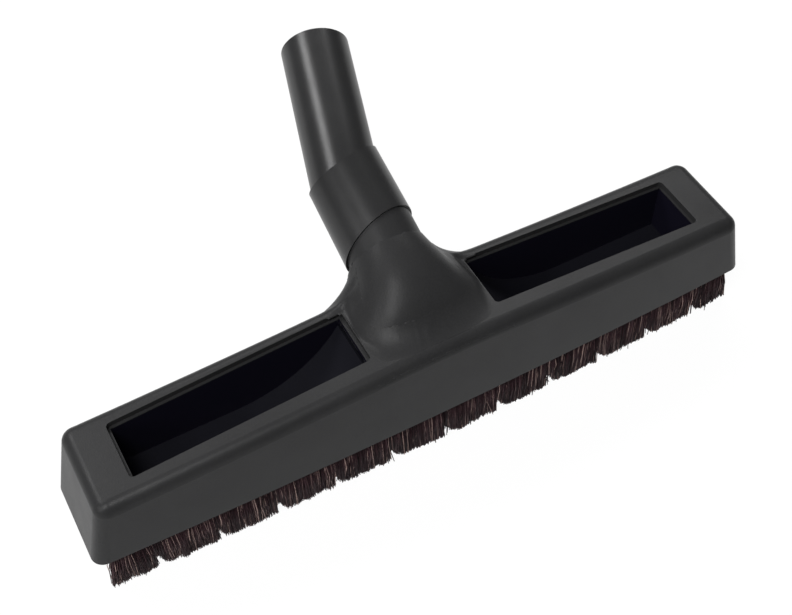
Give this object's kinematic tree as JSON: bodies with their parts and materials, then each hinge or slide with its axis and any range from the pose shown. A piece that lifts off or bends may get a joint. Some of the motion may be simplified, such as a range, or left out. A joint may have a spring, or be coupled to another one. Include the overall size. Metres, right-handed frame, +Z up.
{
  "type": "vacuum floor brush head",
  "caption": "Vacuum cleaner floor brush head: a long bowed housing with two open wells, a flared neck, a swivelling bent tube with a wand socket, and bristle rows along both bottom edges.",
  "frame": {"origin": "On the floor, under the middle of the housing as measured between its end faces and its end widths", "axes": "+X along the brush to the right as seen from the front, +Y to the rear towards the neck and tube, +Z up"},
  "size_m": [0.363, 0.181, 0.1312],
  "materials": {
    "housing_plastic": "black moulded plastic with a fine matt grain",
    "sole_plastic": "black moulded plastic, smooth",
    "strip_plastic": "black extruded strip",
    "hair": "dark brown hair bristles with paler strands",
    "seal_rubber": "black rubber",
    "screw_steel": "zinc plated steel",
    "ring_steel": "spring steel wire"
  },
  "bodies": {
    "head": {"housing": "housing_plastic", "sole_plate": "sole_plastic", "sole_screws": "screw_steel", "front_strip": "strip_plastic", "rear_strip": "strip_plastic", "front_bristles": "hair", "rear_bristles": "hair", "snap_ring": "ring_steel"},
    "elbow": {"swivel_elbow": "housing_plastic", "swivel_seal": "seal_rubber"}
  },
  "joints": [
    {"name": "elbow_swivel", "type": "hinge", "parent": "head", "child": "elbow", "pos_m": [0, 0.039, 0.0829], "axis": [0, 0.9397, 0.342], "continuous": true}
  ]
}
